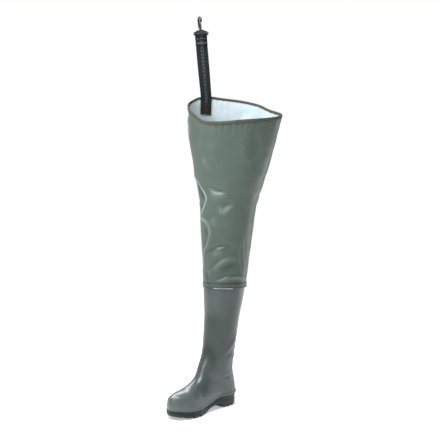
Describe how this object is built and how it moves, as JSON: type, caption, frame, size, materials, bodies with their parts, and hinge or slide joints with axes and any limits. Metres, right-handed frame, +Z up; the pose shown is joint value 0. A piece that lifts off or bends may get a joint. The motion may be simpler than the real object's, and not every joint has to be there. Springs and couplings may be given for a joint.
{
  "type": "hip wader",
  "caption": "Hip-high wader for the right foot: moulded boot with lugged sole, coated fabric shaft with a slanting bound collar, and a belt strap with a swivel hook.",
  "frame": {"origin": "middle of the heel's contact with the floor", "axes": "+Z up along the leg, the toe points to -Y, the inner (medial) side of the leg is +X"},
  "size_m": [0.2605, 0.3709, 1.2665],
  "materials": {
    "boot": "olive green moulded PVC, satin",
    "fabric": "olive green coated nylon, soft sheen, pale grey lining inside",
    "sole": "blue-black moulded rubber, matt",
    "insole": "grey felt",
    "binding": "olive-brown woven tape",
    "webbing": "dark grey woven webbing",
    "plastic": "black moulded plastic, satin"
  },
  "bodies": {
    "wader": {"outsole": "sole", "boot_upper": "boot", "insole": "insole", "shaft": "fabric", "collar_binding": "binding", "strap": "webbing"},
    "hook_base": {"hook_base": "plastic"},
    "hook": {"hook": "plastic"}
  },
  "joints": [
    {"name": "base_tilt", "type": "hinge", "parent": "wader", "child": "hook_base", "pos_m": [-0.0645, -0.045, 1.2098], "axis": [0.555, 0.8229, 0.1219], "range_deg": [-80, 50]},
    {"name": "hook_swivel", "type": "hinge", "parent": "hook_base", "child": "hook", "pos_m": [-0.0645, -0.045, 1.2098], "axis": [-0.0681, -0.101, 0.9925], "continuous": true}
  ]
}
